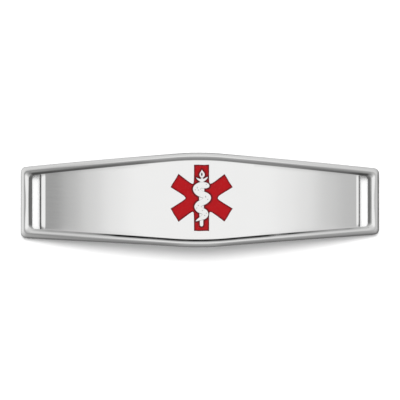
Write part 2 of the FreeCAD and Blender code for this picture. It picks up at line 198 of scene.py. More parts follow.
def on_arch(sizes, along, across, rise):
    """Bends plan coordinates over the arch. A point at plan distance `along` leans by the
    angle whose sine is along / R and stands at R + rise from the bend line. Towards the left
    end it is also spread across by its flare."""
    across = across * flare_scale(sizes, along, across)
    sine = along / sizes.crest_radius
    arm = sizes.crest_radius + rise
    up = arm * np.sqrt(1 - sine ** 2) - sizes.bend_depth
    return np.stack(np.broadcast_arrays(arm * sine, across, up), axis=-1)


def half_width(sizes, along, rise, middle, slope, bend):
    """Half the plate's width at a plan distance: level at the middle, an arc of radius
    b / sin(slope) up to b, then a straight taper. It is measured at the true x."""
    x = np.abs(along) * (1 + rise / sizes.crest_radius)
    radius = bend / math.sin(slope)
    near = np.minimum(x, bend)
    arc = radius - np.sqrt(radius ** 2 - near ** 2)
    return middle - arc - np.maximum(x - bend, 0) * math.tan(slope)


def outer_half(sizes, along, rise=0.0):
    return half_width(sizes, along, rise, sizes.plate_width / 2, sizes.taper, sizes.bend_half)


def inner_half(sizes, along, rise=0.0):
    middle = sizes.plate_width / 2 - sizes.rim_middle
    return half_width(sizes, along, rise, middle, sizes.inner_taper, sizes.inner_bend_half)


def pocket_end(sizes):
    """Plan distance of the end bars' inner wall."""
    return sizes.plate_length / 2 - sizes.end_bar


def slot_edge(sizes):
    """Plan distance of the wall where the face ends at a slot."""
    lean = math.asin(pocket_end(sizes) / sizes.crest_radius)
    arm = sizes.crest_radius - sizes.rim_rise - sizes.lip_round
    return sizes.crest_radius * math.sin(lean - math.asin(sizes.slot_width / arm))


def lip_stations(sizes):
    """Plan distances over a lip: even steps over its slope, then a quarter round."""
    edge = slot_edge(sizes)
    turn = straight(0, math.pi / 2, LIP_STEPS)
    round_part = edge - sizes.lip_round + sizes.lip_round * np.sin(turn)
    return np.concatenate([straight(edge - sizes.lip_zone, round_part[0], LIP_SLOPE_STEPS)[:-1], round_part])


def lip_bump(sizes, sign, along):
    """Height of a slot's lip above the face: a straight slope up to its crown, then level."""
    rise = sizes.right_lip_rise if sign > 0 else sizes.left_lip_rise
    width = sizes.right_lip_width if sign > 0 else sizes.left_lip_width
    inside = slot_edge(sizes) - along
    share = np.clip((width - inside) / (width - sizes.lip_round * 1.3), 0, 1)
    return rise * share ** 1.15


def dish_rise(sizes, along, across):
    """Rise of the hollow that joins the face to the rim: d * exp(-gap / w) by the gap to the
    rim's foot, slightly uneven along the plate and fading out before the slots."""
    start = slot_edge(sizes) - sizes.lip_zone
    fade = np.clip((start - np.abs(along)) / DISH_FADE, 0, 1)
    fade = fade * fade * (3 - 2 * fade)
    uneven = 1 + 0.3 * np.sin(along / (1.9 * MM) + 1) + 0.2 * np.sin(along / (0.83 * MM) + np.sign(across))
    gap = np.maximum(inner_half(sizes, along, -sizes.rim_rise) - np.abs(across), 0)
    return sizes.dish * fade * uneven * np.exp(-gap / DISH_WIDTH)


def star_angles(star):
    """Polar angles round the star, anticlockwise from the lower corner of the right notch,
    with every corner of an arm among them."""
    upright = math.atan(star.upright_width / 2 / star.upright_reach)
    inner = star.slant - math.atan(star.slant_width / 2 / star.slant_reach)
    outer = (star.shoulder / star.slant_reach + math.sin(star.splay)) / math.cos(star.splay)
    outer = star.slant + math.atan(outer)
    quarter, half = math.pi / 2, math.pi
    corners = [-inner, inner, outer, quarter - upright, quarter + upright, half - outer, half - inner]
    corners += [half + turn for turn in corners[1:]]
    steps = [NOTCH_STEPS, TIP_STEPS] * 6
    parts = [straight(low, high, count)[:-1] for low, high, count in zip(corners, corners[1:], steps)]
    return np.concatenate(parts)


def star_radius(star, angles, inset=0.0):
    """Reach of the star at polar angles, folded into one quarter: the farthest of the upright
    arm, the slanted arm and the slanted arm of the quarter below, each the nearer of its end
    and its side. A log-sum of exponentials blends them so that the notches are round."""
    turn = np.arctan2(np.abs(np.sin(angles)), np.abs(np.cos(angles)))
    lean = turn - star.slant
    half = star.slant_width / 2 - inset
    outer_side = (star.shoulder - inset) / np.maximum(np.sin(lean - star.splay), 1e-9)
    inner_side = half / np.maximum(-np.sin(lean), 1e-9)
    reaches = [np.minimum((star.upright_reach - inset) / np.maximum(np.sin(turn), 1e-9),
                          (star.upright_width / 2 - inset) / np.maximum(np.cos(turn), 1e-9)),
               np.minimum((star.slant_reach - inset) / np.cos(lean),
                          np.where(lean > 0, outer_side, inner_side)),
               half / np.maximum(np.sin(turn + star.slant), 1e-9)]
    reaches = np.array(reaches) / NOTCH_SOFTNESS
    top = reaches.max(axis=0)
    reach = (top + np.log(np.exp(reaches - top).sum(axis=0))) * NOTCH_SOFTNESS
    return reach + OUTLINE_UNEVEN * (np.sin(19 * angles + 1) + 0.4 * np.sin(33 * angles))


def star_centre(star):
    return np.array([star.centre_x, star.centre_y])


def star_points(star, inset=0.0):
    """The star's outline in plan, K by 2."""
    angles = star_angles(star)
    rays = np.stack([np.cos(angles), np.sin(angles)], axis=-1)
    return star_centre(star) + rays * star_radius(star, angles, inset)[:, None]


def zone_sides(sizes, star):
    """Where rays from the star's centre, through its outline's points, meet the foot of the
    rim above and below it. The ray's plan distance is solved by repeated substitution."""
    angles = star_angles(star)
    sides = []
    for sign, first in ((1, ZONE_FIRST), (-1, ZONE_FIRST + len(angles) // 2)):
        chosen = angles[first:first + 2 * ZONE_SIDE + 1]
        along = np.full_like(chosen, star.centre_x)
        for _ in range(RAY_ROUNDS):
            rise = sign * inner_half(sizes, along, -sizes.rim_rise) - star.centre_y
            along = star.centre_x + rise / np.tan(chosen)
        sides.append(along)
    return sides


def side_stations(sizes, star):
    """Plan distances along the upper side from the right slot's wall to the left one's, and
    along the lower side from the left one's to the right one's."""
    lip = lip_stations(sizes)
    upper, lower = zone_sides(sizes, star)
    sides = []
    for zone in (upper, lower[::-1]):
        right = straight(lip[0], zone[0], PLAIN_STEPS)
        left = straight(zone[-1], -lip[0], PLAIN_STEPS)
        sides.append(np.concatenate([lip[:0:-1], right[:-1], zone, left[1:], -lip[1:]]))
    return sides[0], sides[1][::-1]


def corner(sizes, half, end, radius, taper, rise, steps):
    """Quarter round between an end line and a long side, from the line to the side. Its
    centre lies one radius inside both."""
    centre_x = end - radius
    centre_y = half(sizes, centre_x, rise) - radius / math.cos(taper)
    turn = straight(0, math.pi / 2 - taper, steps)
    return np.stack([centre_x + radius * np.cos(turn), centre_y + radius * np.sin(turn)], axis=-1)


def slot_end(sizes, rise, outer):
    """Plan points round the upper half of the right slot's end, from the middle of the end
    bar to the slot's inner wall: line, corner, long side. The outer line follows the same
    count of points along the plate's outline."""
    edge, end = slot_edge(sizes), pocket_end(sizes)
    inner_corner = corner(sizes, inner_half, end, sizes.pocket_round, sizes.inner_taper, rise, CORNER_STEPS)
    side = straight(inner_corner[-1, 0], edge, SLOT_SIDE_STEPS)[1:]
    found, half = inner_corner, inner_half
    if outer:
        half = outer_half
        found = corner(sizes, outer_half, sizes.plate_length / 2, sizes.corner_round, sizes.taper, rise,
                       CORNER_STEPS - 3)
        run = straight(found[-1, 0], inner_corner[-1, 0], 3)[1:]
        found = np.concatenate([found, np.stack([run, half(sizes, run, rise)], axis=-1)])
    line_y = straight(0, found[0, 1], END_STEPS // 2)[:-1]
    line = np.stack([np.full_like(line_y, found[0, 0]), line_y], axis=-1)
    return np.concatenate([line, found, np.stack([side, half(sizes, side, rise)], axis=-1)])


def rim_loop(sizes, star, rise, outer):
    """A closed plan outline, anticlockwise from the lower end of the right slot's inner wall:
    the right slot, the upper side, the left slot, the lower side."""
    quarter = slot_end(sizes, rise, outer)
    below = quarter[:0:-1] * (1, -1)
    right = np.concatenate([below, quarter])
    half = outer_half if outer else inner_half
    upper, lower = side_stations(sizes, star)
    top = np.stack([upper, half(sizes, upper, rise)], axis=-1)
    bottom = np.stack([lower, -half(sizes, lower, rise)], axis=-1)
    return np.concatenate([right[:-1], top[:-1], right[:-1] * (-1, -1), bottom[:-1]])


def section_rises(table, shares, width, rim_rise):
    """Rises at shares of a section: the integral of the slope's tangent, the slope running
    evenly between the listed points, with the crown at nought and the foot at the face."""
    fine = straight(0, 1, SECTION_PARTS)
    marks, slopes = np.array([row[:2] for row in table]).T
    climb = np.tan(np.radians(np.interp(fine, marks, slopes)))
    rises = np.concatenate([[0], np.cumsum((climb[1:] + climb[:-1]) / 2)]) / SECTION_PARTS * width
    return np.interp(shares, fine, (rises - rises.max()) * rim_rise / rises.max())


def rim_section(sizes):
    """The rim's top: shares of its width, its rises there and the end bars' rises."""
    marks = [row[0] for row in RIM_SLOPES]
    steps = [row[2] for row in RIM_SLOPES]
    shares = [straight(low, high, count)[1:] for low, high, count in zip(marks, marks[1:], steps[1:])]
    shares = np.concatenate([[0.0], *shares])
    return (shares, section_rises(RIM_SLOPES, shares, sizes.rim_middle, sizes.rim_rise),
            section_rises(BAR_SLOPES, shares, sizes.end_bar, sizes.rim_rise))


def band_row(sizes, star, share, rise, inset=0.0):
    """One line of the rim all round, at a share of the way from its inner to its outer edge
    and an inset from there, on the straight lines that join the two edges' points."""
    outer, inner = rim_loop(sizes, star, rise, True), rim_loop(sizes, star, rise, False)
    width = np.linalg.norm(inner - outer, axis=1)
    return inner + (outer - inner) * (share + inset / width)[:, None]


def rim_band(sizes, star):
    """The rim's surface, rows across the section by points round the loop: its top, the wall
    outside and the rounding at the back."""
    shares, rises, bar_rises = rim_section(sizes)
    back, foot = -sizes.rim_rise - sizes.face_thick, sizes.foot_round
    away = np.abs(rim_loop(sizes, star, 0.0, True) - rim_loop(sizes, star, 0.0, False))
    bar = np.clip(away[:, 0] / (away[:, 0] + away[:, 1]) * 1.6 - 0.3, 0, 1)
    plans = []
    for share, rise, bar_rise in zip(shares, rises, bar_rises):
        plan = band_row(sizes, star, share, rise)
        dish = dish_rise(sizes, plan[:, 0], np.sign(plan[:, 1]) * sizes.plate_width) * rise / rises[0]
        plans.append((plan, rise + (bar_rise - rise) * bar + dish))
    top = plans[-1][1]
    for share in straight(0, 1, WALL_STEPS)[1:-1]:
        rise = top + (back + foot - top) * share
        plans.append((band_row(sizes, star, 1.0, rises[-1] + (back + foot - rises[-1]) * share), rise))
    for angle in straight(0, math.pi / 2, FOOT_STEPS):
        rise = back + foot * (1 - math.sin(angle))
        plans.append((band_row(sizes, star, 1.0, rise, -foot * (1 - math.cos(angle))), rise))
    return np.array([on_arch(sizes, plan[:, 0], plan[:, 1], rise) for plan, rise in plans])


def lip_profile(sizes):
    """Plan distance and rise of the face's rounded edge at a slot, its wall and the rounding
    at the back, with how far each point lies inside the wall at the back."""
    edge, face = slot_edge(sizes), -sizes.rim_rise
    back, foot = face - sizes.face_thick, sizes.foot_round
    stations = lip_stations(sizes)
    past = np.clip(stations - (edge - sizes.lip_round), 0, sizes.lip_round)
    falls = sizes.lip_round - np.sqrt(np.maximum(sizes.lip_round ** 2 - past ** 2, 0))
    lip = [(along, face - fall, 0.0) for along, fall in zip(stations, falls)]
    wall = [(edge, rise, 0.0) for rise in straight(face - sizes.lip_round, back + foot, LIP_WALL_STEPS)[1:]]
    inset = [(foot * (1 - math.cos(a)), back + foot * (1 - math.sin(a)))
             for a in straight(0, math.pi / 2, FOOT_STEPS)[1:]]
    return lip, wall, [(edge - deep, rise, deep) for deep, rise in inset]


def face_points(sizes, plan):
    """Plan points of the face, with the hollow that joins it to the rim."""
    along, across = plan[..., 0], plan[..., 1]
    return on_arch(sizes, along, across, dish_rise(sizes, along, across) - sizes.rim_rise)


def grid_patches(sizes, star):
    """Every patch of the casting, as grids of points that share their edges."""
    face, back = -sizes.rim_rise, -sizes.rim_rise - sizes.face_thick
    band = rim_band(sizes, star)
    patches = [(band, True)]
    upper, lower = side_stations(sizes, star)
    slot_count = 2 * len(slot_end(sizes, 0.0, False)) - 2
    side_count = len(upper) - 1
    top = slice(slot_count, slot_count + side_count + 1)
    loop_length = band.shape[1]
    bottom = (np.arange(side_count + 1) + 2 * slot_count + side_count) % loop_length
    rim_back = band[-1]

    # The face round the star.
    angles = star_angles(star)
    zone, count = len(angles), 2 * ZONE_SIDE
    inner = rim_loop(sizes, star, face, False)
    zone_start = LIP_STEPS + LIP_SLOPE_STEPS + PLAIN_STEPS
    top_plan = inner[top][zone_start:zone_start + count + 1]
    bottom_plan = inner[bottom][zone_start:zone_start + count + 1]
    centre = star_centre(star)
    border = np.zeros((zone, 2))
    order = (ZONE_FIRST + np.arange(zone)) % zone
    border[order[:count + 1]] = top_plan
    border[order[count + ZONE_SIDE:2 * count + ZONE_SIDE + 1]] = bottom_plan
    ray = np.stack([np.cos(angles), np.sin(angles)], axis=-1)
    for begin, low, high in ((count, top_plan[-1], bottom_plan[0]),
                             (2 * count + ZONE_SIDE, bottom_plan[-1], top_plan[0])):
        chosen = order[begin + 1:begin + ZONE_SIDE]
        run = high - low
        reach = ((low - centre)[0] * run[1] - (low - centre)[1] * run[0]) / (
            ray[chosen, 0] * run[1] - ray[chosen, 1] * run[0])
        border[chosen] = centre + ray[chosen] * reach[:, None]
    star_plan = star_points(star)
    shares = straight(0, 1, RING_STEPS) ** 1.3
    patches.append((face_points(sizes, between(star_plan, border, shares)), True))

    # The rest of the face, from the star's zone to the two lips.
    lip, wall, foot = lip_profile(sizes)
    left = border[order[count:count + ZONE_SIDE + 1]]
    right = border[order[np.arange(2 * count + ZONE_SIDE, 3 * count + 1) % zone]][::-1]
    shares = straight(0, 1, ZONE_SIDE)
    for sign, start in ((1, right), (-1, left)):
        ends = inner_half(sizes, lip[0][0], face)
        final = np.stack([np.full_like(shares, sign * lip[0][0]), ends * (1 - 2 * shares)], axis=-1)
        rows = [start]
        for step in straight(0, 1, PLAIN_STEPS)[1:-1]:
            line = start + (final - start) * step
            high = inner_half(sizes, line[0, 0], face)
            low = -inner_half(sizes, line[-1, 0], face)
            line[:, 1] = high + (low - high) * (line[:, 1] - line[0, 1]) / (line[-1, 1] - line[0, 1])
            rows.append(line)
        rows.append(final)
        patches.append((face_points(sizes, np.array(rows)), False))

        # The lip, the slot's inner wall and the rounding at the back.
        rows = []
        across = 1 - 2 * shares
        for along, rise, deep in lip + wall + foot:
            reach = inner_half(sizes, slot_edge(sizes) if deep else along, rise) + deep
            if rise > wall[0][1]:
                rise = rise + lip_bump(sizes, sign, along) * (1 - np.abs(across) ** LIP_LEVEL)
            rows.append(on_arch(sizes, sign * along, reach * across, rise))
        patches.append((np.array(rows), False))

        # Between the rim's foot and the lip's rounding, on both sides.
        for side in (1, -1):
            columns = []
            for along, low, _ in lip:
                rises = straight(face, low, LIP_WALL_STEPS)
                columns.append(on_arch(sizes, sign * along, side * inner_half(sizes, along, rises), rises))
            patches.append((np.array(columns), False))

    # Walls of the slots and the back.
    rises = [*straight(face, face - sizes.lip_round, LIP_WALL_STEPS), *(row[1] for row in wall)]
    slot_feet = []
    for sign, first in ((1, 0), (-1, slot_count + side_count)):
        chosen = (np.arange(slot_count + 1) + first) % loop_length
        rows = [on_arch(sizes, *rim_loop(sizes, star, rise, False)[chosen].T, rise) for rise in rises]
        for along, rise, deep in foot:
            plan = band_row(sizes, star, 0.0, rise, deep)[chosen]
            edge_half = inner_half(sizes, slot_edge(sizes), rise) + deep
            plan[0] = (sign * along, -sign * edge_half)
            plan[-1] = (sign * along, sign * edge_half)
            rows.append(on_arch(sizes, plan[:, 0], plan[:, 1], rise))
        patches.append((np.array(rows), False))
        slot_feet.append(rows[-1])
        patches.append((between(rows[-1], rim_back[chosen], straight(0, 1, BACK_STEPS)), False))
    upper, lower = rim_back[top], rim_back[bottom][::-1]
    patches.append((back_grid(sizes, upper, lower, slot_feet, foot[-1], back), False))
    return patches


def back_grid(sizes, upper, lower, slot_feet, last_foot, back):
    """The back between the slots: lines from the upper edge to the lower one. Near a slot
    they blend from the slot's foot to the first straight line."""
    lines, steps = [], straight(0, 1, BACK_STEPS)[:, None]
    for sign, feet, at in ((1, slot_feet[0][::-1], 0), (-1, slot_feet[1], -1)):
        reach = inner_half(sizes, slot_edge(sizes), back) + last_foot[2]
        edge = on_arch(sizes, sign * last_foot[0], reach * (1 - 2 * straight(0, 1, ZONE_SIDE)), back)
        above = upper[at] + (feet[0] - upper[at]) * steps
        below = feet[-1] + (lower[at] - feet[-1]) * steps
        lines.append(np.concatenate([above[:-1], edge, below[1:]]))
    shares = (lines[0][:, 1] - lines[0][0, 1]) / (lines[0][-1, 1] - lines[0][0, 1])
    grid = upper[:, None] + (lower - upper)[:, None] * shares[:, None]
    grid[..., 2] = np.sqrt((sizes.crest_radius + back) ** 2 - grid[..., 0] ** 2) - sizes.bend_depth
    count = LIP_STEPS + LIP_SLOPE_STEPS
    blend = (upper[:count + 1, 0] - upper[0, 0]) / (upper[count, 0] - upper[0, 0])
    for line, turned in ((lines[0], grid), (lines[1], grid[::-1])):
        for number in range(count):
            mixed = line * (1 - blend[number]) + turned[count] * blend[number]
            turned[number, 1:-1] = mixed[1:-1]
    return grid


def shrinking(outline, centre, steps):
    """Copies of an outline, from itself down to its centre."""
    return centre + (outline - centre)[None] * straight(1, 0, steps)[:, None, None]


def star_recess(sizes, star):
    """The sunk star: its wall, and its floor as shrinking copies of the outline."""
    face = -sizes.rim_rise
    plan, centre = star_points(star), star_centre(star)
    rows = [on_arch(sizes, plan[:, 0], plan[:, 1], face - star.depth * share) for share in (0.1, 0.5, 1)]
    wall = np.array([face_points(sizes, plan), *rows])
    rings = shrinking(plan, centre, RECESS_RINGS)
    return [(wall, True), (on_arch(sizes, rings[..., 0], rings[..., 1], face - star.depth), True)]


def grid_faces(rows, columns, closed):
    """Corner numbers of the quads of a grid; a closed one joins its last column to its first."""
    number = np.arange(rows * columns).reshape(rows, columns)
    if closed:
        number = np.concatenate([number, number[:, :1]], axis=1)
    corners = [number[:-1, :-1], number[:-1, 1:], number[1:, 1:], number[1:, :-1]]
    return np.stack(corners, axis=-1).reshape(-1, 4)


def sewn(name, patches, weld=2e-7):
    """One mesh from grids of points. Points that coincide are merged, and faces turned out."""
    points, faces, count = [], [], 0
    for grid, closed in patches:
        rows, columns = grid.shape[:2]
        points.append(grid.reshape(-1, 3))
        faces.append(grid_faces(rows, columns, closed) + count)
        count += rows * columns
    mesh = bpy.data.meshes.new(name)
    mesh.from_pydata(np.concatenate(points).tolist(), [], np.concatenate(faces).tolist())
    work = bmesh.new()
    work.from_mesh(mesh)
    bmesh.ops.remove_doubles(work, verts=work.verts, dist=weld)
    bmesh.ops.dissolve_degenerate(work, dist=weld / 2, edges=work.edges)
    bmesh.ops.recalc_face_normals(work, faces=work.faces)
    work.to_mesh(mesh)
    work.free()
    mesh.update()
    return mesh


def add_shade(mesh, name, shade):
    """Stores a value at each point of a mesh, worked out from the points' places."""
    places = np.zeros(len(mesh.vertices) * 3)
    mesh.vertices.foreach_get("co", places)
    values = mesh.attributes.new(name, "FLOAT", "POINT")
    values.data.foreach_set("value", shade(places.reshape(-1, 3)).astype(np.float32))


def linked(name, data):
    """A new object, linked into the scene."""
    made = bpy.data.objects.new(name, data)
    bpy.context.scene.collection.objects.link(made)
    return made


def add_piece(name, mesh, node, material):
    """Puts a finished mesh into the scene as a piece that stands for a node."""
    mesh.shade_smooth()
    mesh.set_sharp_from_angle(angle=SHARP_FROM)
    mesh.materials.append(material)
    piece = linked(name, mesh)
    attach(piece, "root")
    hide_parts(node)
    return piece


def smooth_path(points, count):
    """A Catmull-Rom curve through points, evenly stepped between each two."""
    points = np.array(points, float)
    padded = np.concatenate([2 * points[:1] - points[1:2], points, 2 * points[-1:] - points[-2:-1]])
    share = np.linspace(0, len(points) - 1, count)
    part = np.minimum(share.astype(int), len(points) - 2)
    t = (share - part)[:, None]
    a, b, c, d = (padded[part + step] for step in range(4))
    square, cube = 2 * a - 5 * b + 4 * c - d, 3 * b - a - 3 * c + d
    return 0.5 * (2 * b + (c - a) * t + square * t ** 2 + cube * t ** 3)


# Raised lines of the relief from the star's centre, in millimetres: places along the line
# with its half width there.
SERPENT = [
    # across_x, up_y, half_width
    (0.86, 1.53, 0.13), (0.72, 1.56, 0.32), (0.45, 1.6, 0.42), (0.02, 1.62, 0.4), (-0.34, 1.52, 0.44),
    (-0.63, 1.17, 0.5), (-0.45, 0.76, 0.47), (0.0, 0.47, 0.44), (0.45, 0.33, 0.43), (0.75, 0.02, 0.49),
    (0.5, -0.36, 0.45), (0.05, -0.62, 0.42), (-0.32, -0.82, 0.42), (-0.52, -1.15, 0.43), (-0.3, -1.5, 0.42),
    (0.1, -1.68, 0.41), (0.4, -1.86, 0.41), (0.49, -2.15, 0.41), (0.32, -2.42, 0.36), (-0.02, -2.6, 0.27),
    (-0.38, -2.78, 0.18), (-0.6, -2.9, 0.12), (-0.72, -2.97, 0.06),
]
STAFF = [(0.0, -3.46, 0.24), (0.0, -3.0, 0.25), (0.0, -2.4, 0.29), (0.0, -1.0, 0.33), (0.02, 1.2, 0.36),
         (0.04, 1.9, 0.33), (0.06, 2.3, 0.26)]
BUD = [(0.05, 2.64, 0.02), (0.06, 2.78, 0.24), (0.07, 2.96, 0.37), (0.07, 3.14, 0.29), (0.06, 3.38, 0.15),
       (0.05, 3.55, 0.06), (0.04, 3.66, 0.015)]
LEAVES = [(-0.7, 2.6, 0.02), (-0.52, 2.44, 0.12), (-0.26, 2.3, 0.17), (0.05, 2.2, 0.2), (0.4, 2.34, 0.17),
          (0.66, 2.54, 0.12), (0.86, 2.72, 0.02)]

# Each line with how far it lies below the highest one, and the width of its rounded edge.
RELIEF = [(SERPENT, 0.0, 0.07), (STAFF, 0.04, 0.07), (BUD, 0.01, 0.07), (LEAVES, 0.02, 0.07)]
# Added to every half width; then the swell of a line's crown and the depth where it ends.
FULLER = 0.035
SWELL, SWELL_DEPTH = 0.03, 0.45
# Places along a line, and parts in which they are compared.
LINE_PLACES, LINE_PARTS = 260, 13

# Small hollows in the relief: x, y, half sizes and depth. The bud's drop, then the marks of
# the serpent's scales and eye.
HOLLOWS = [(0.03, 3.0, 0.085, 0.2, 0.13), (0.62, 1.72, 0.06, 0.05, 0.05), (-0.55, 1.28, 0.05, 0.12, 0.035),
           (-0.4, 0.98, 0.08, 0.05, 0.035), (-0.82, 1.0, 0.05, 0.06, 0.03), (0.52, 0.12, 0.05, 0.13, 0.035),
           (0.8, -0.22, 0.05, 0.07, 0.03), (-0.42, -1.0, 0.06, 0.06, 0.035), (-0.62, -1.32, 0.05, 0.05, 0.03),
           (0.12, -1.62, 0.09, 0.04, 0.03), (0.4, -2.28, 0.06, 0.06, 0.035), (0.62, -2.0, 0.04, 0.07, 0.03)]
RELIEF_REACH = (-1.35, 1.4, -3.9, 3.85)
RELIEF_STEP = 0.027


def line_depth(table, points):
    """How deep points lie inside a raised line: the largest of half width minus distance over
    closely set places along it, in millimetres."""
    depth = np.full(len(points), -1e9)
    for part in np.array_split(smooth_path(table, LINE_PLACES), LINE_PARTS):
        gap = points[:, None] - part[None, :, :2]
        depth = np.maximum(depth, (part[None, :, 2] - np.sqrt((gap ** 2).sum(-1))).max(axis=1))
    return depth + FULLER


def relief_height(points, base, crown):
    """Height of the relief over plan points: each line rises from the base as a quarter round
    sqrt(1 - (1 - depth / edge) ** 2) and then swells gently; the highest line counts, less
    the bell-shaped hollows."""
    height = np.full(len(points), base)
    for table, below, edge in RELIEF:
        depth = line_depth(table, points)
        share = np.clip(depth / edge, 0, 1)
        swell = SWELL * (np.clip(depth / SWELL_DEPTH, 0, 1) - 1)
        top = base + (crown - below + swell - base) * np.sqrt(1 - (1 - share) ** 2)
        height = np.maximum(height, top)
    for x, y, half_x, half_y, depth in HOLLOWS:
        away = ((points[:, 0] - x) / half_x) ** 2 + ((points[:, 1] - y) / half_y) ** 2
        height = np.where(height > base, height - depth * np.exp(-away ** 2), height)
    return np.maximum(height, base)


# How dark the painted shade in the crease at the rim's foot is: place along the plate in millimetres, and
# share.
LOWER_CREASE_SHADE = [(-21.8, 0), (-21.2, 0.2), (-19.5, 0.4), (-11.6, 0.5), (-10.4, 1), (8.6, 1), (9.8, 0.55),
                (19.0, 0.4), (21.8, 0)]
UPPER_CREASE_SHADE = [(-21.9, 0), (-21.5, 0.7), (-20.4, 0.6), (-18.0, 0.5), (-8.0, 0.4), (-5.0, 0), (19.0, 0.1),
                (20.6, 0.6), (21.5, 0.6), (21.9, 0)]
# Painted shade: the width of the crease line, the lips' dark band, and the dark outline of star and relief.
CREASE_SHADE_WIDTH = 0.33 * MM
LIP_SHADE_WIDTH = 0.23 * MM
LIP_SHADE_START = 0.03 * MM
RIGHT_LIP_SHADE = 0.6
SUNK_SHADE = 0.85
SUNK_SHADE_DEPTH = 0.04 * MM
STAR_REACH = 6 * MM


def edge_nearness(star, points, reach):
    """How near plan points are to the star's outline or to the relief: 1 on the edge, and a
    bell curve of the distance away from it."""
    start = star_points(star)
    run = np.roll(start, -1, axis=0) - start
    gap = points[:, None] - start[None]
    share = np.clip((gap * run[None]).sum(-1) / (run ** 2).sum(-1)[None], 0, 1)
    distance = np.linalg.norm(gap - run[None] * share[..., None], axis=-1).min(axis=1)
    for table, _, _ in RELIEF:
        away = -line_depth(table, (points - star_centre(star)) / MM) * MM
        distance = np.minimum(distance, np.maximum(away, 0))
    return np.exp(-(distance / reach) ** 2)


def rise_at(sizes, places):
    """Height of places above the arch over the rim."""
    return np.hypot(places[:, 0], places[:, 2] + sizes.bend_depth) - sizes.crest_radius


def painted_sunk_shade(sizes, rise):
    """The dark outline of star and relief, painted shade: from the face's level down to the enamel."""
    return SUNK_SHADE * np.clip((-sizes.rim_rise - rise) / SUNK_SHADE_DEPTH, 0, 1)


def painted_crease_shade(sizes, places):
    """How dark the painted shade is in the crease at the rim's foot, on the slots' lips and on
    the star's wall: flat-topped curves exp(-t ** 6) and exp(-t ** 4) over the gap to rim and slot."""
    x, y = places[:, 0], places[:, 1]
    rise = rise_at(sizes, places)
    along = x / (1 + rise / sizes.crest_radius)
    below_face = -sizes.rim_rise - rise
    gap = np.abs(y) / flare_scale(sizes, along, y) - inner_half(sizes, along, rise)
    line = np.clip(gap / (0.03 * MM), 0, 1) * np.exp(-(gap / CREASE_SHADE_WIDTH) ** 6)
    lower, upper = (np.interp(x / MM, *zip(*table)) for table in (LOWER_CREASE_SHADE, UPPER_CREASE_SHADE))
    uneven = 0.96 + 0.04 * np.sin(x / (0.37 * MM)) * np.sin(x / (0.93 * MM))
    foot = np.where(below_face < 0.02 * MM, line * np.where(y > 0, upper, lower) * uneven, 0.0)
    wall = slot_edge(sizes) - np.abs(along) - LIP_SHADE_START
    lip = np.exp(-(wall / LIP_SHADE_WIDTH) ** 4) * np.where(x < 0, 1.0, RIGHT_LIP_SHADE)
    lip *= 0.97 + 0.03 * np.sin(y / (0.17 * MM)) * np.sin(y / (0.53 * MM) + 1)
    lip = np.where((gap < 0) & (below_face < sizes.lip_round + 0.05 * MM), lip, 0.0)
    recess = (gap < 0) & (np.abs(x) < STAR_REACH) & (below_face < 0.5 * MM)
    return np.maximum.reduce([foot, lip, np.where(recess, painted_sunk_shade(sizes, rise), 0.0)])


def plug(tree, socket, value):
    """Sets an input to a constant, or links it to another node's output."""
    if isinstance(value, bpy.types.NodeSocket):
        tree.links.new(value, socket)
    else:
        socket.default_value = value


def node(tree, kind, place, **settings):
    """A shader node with some of its inputs and properties set."""
    made = tree.nodes.new("ShaderNode" + kind)
    made.location = (place[0] * 180, place[1] * 160)
    for key, value in settings.items():
        if key in made.inputs:
            plug(tree, made.inputs[key], value)
        else:
            setattr(made, key, value)
    return made


def math_node(tree, operation, place, *values):
    made = node(tree, "Math", place, operation=operation)
    for socket, value in zip(made.inputs, values):
        plug(tree, socket, value)
    return made.outputs[0]


def mix_node(tree, place, share, first, second):
    made = node(tree, "Mix", place, data_type="RGBA")
    for number, value in ((0, share), (6, first), (7, second)):
        plug(tree, made.inputs[number], value)
    return made.outputs[2]


def new_material(name):
    material = bpy.data.materials.new(name)
    material.use_nodes = True
    tree = material.node_tree
    tree.nodes.clear()
    shader = node(tree, "BsdfPrincipled", (4, 0))
    node(tree, "OutputMaterial", (6, 0), Surface=shader.outputs["BSDF"])
    return material, tree, shader


def noise(tree, place, vector, scale, detail, **settings):
    made = node(tree, "TexNoise", place, Vector=vector, Scale=scale, Detail=detail, **settings)
    return made.outputs["Fac"]


def bump(tree, height, strength):
    made = node(tree, "Bump", (2, -2), Strength=strength, Distance=0.2 * MM, Height=height)
    return made.outputs["Normal"]


def polished_silver(finishes):
    """Bright polished silver: faint cloudy tone, fine buffing streaks along the plate in
    gloss and bump, and painted shade from the mesh's attribute that darkens creases, lips and the star's
    wall."""
    material, tree, shader = new_material("polished_silver")
    places = node(tree, "TexCoord", (-6, 0)).outputs["Object"]
    cloud = noise(tree, (-2, 2), places, 260.0, 3.0)
    silver = np.array(finishes.silver)
    tone = mix_node(tree, (1, 2), cloud, (*(silver * 0.975), 1), (*silver, 1))
    # Painted shade: the attribute mixes the silver towards near black.
    painted_shade = node(tree, "Attribute", (1, 4), attribute_name="painted_shade").outputs["Fac"]
    shaded = mix_node(tree, (3, 2), painted_shade, tone, (0.01, 0.01, 0.01, 1))
    plug(tree, shader.inputs["Base Color"], shaded)
    stretched = node(tree, "Mapping", (-4, 0), Vector=places, Scale=(120, 2600, 1200))
    streaks = noise(tree, (-2, 0), stretched.outputs["Vector"], 1.0, 4.0, Roughness=0.6)
    gloss = node(tree, "MapRange", (1, 0), Value=streaks, **{"To Min": 0.07, "To Max": 0.13})
    plug(tree, shader.inputs["Roughness"], gloss.outputs["Result"])
    plug(tree, shader.inputs["Normal"], bump(tree, streaks, 0.03))
    plug(tree, shader.inputs["Metallic"], 1.0)
    return material


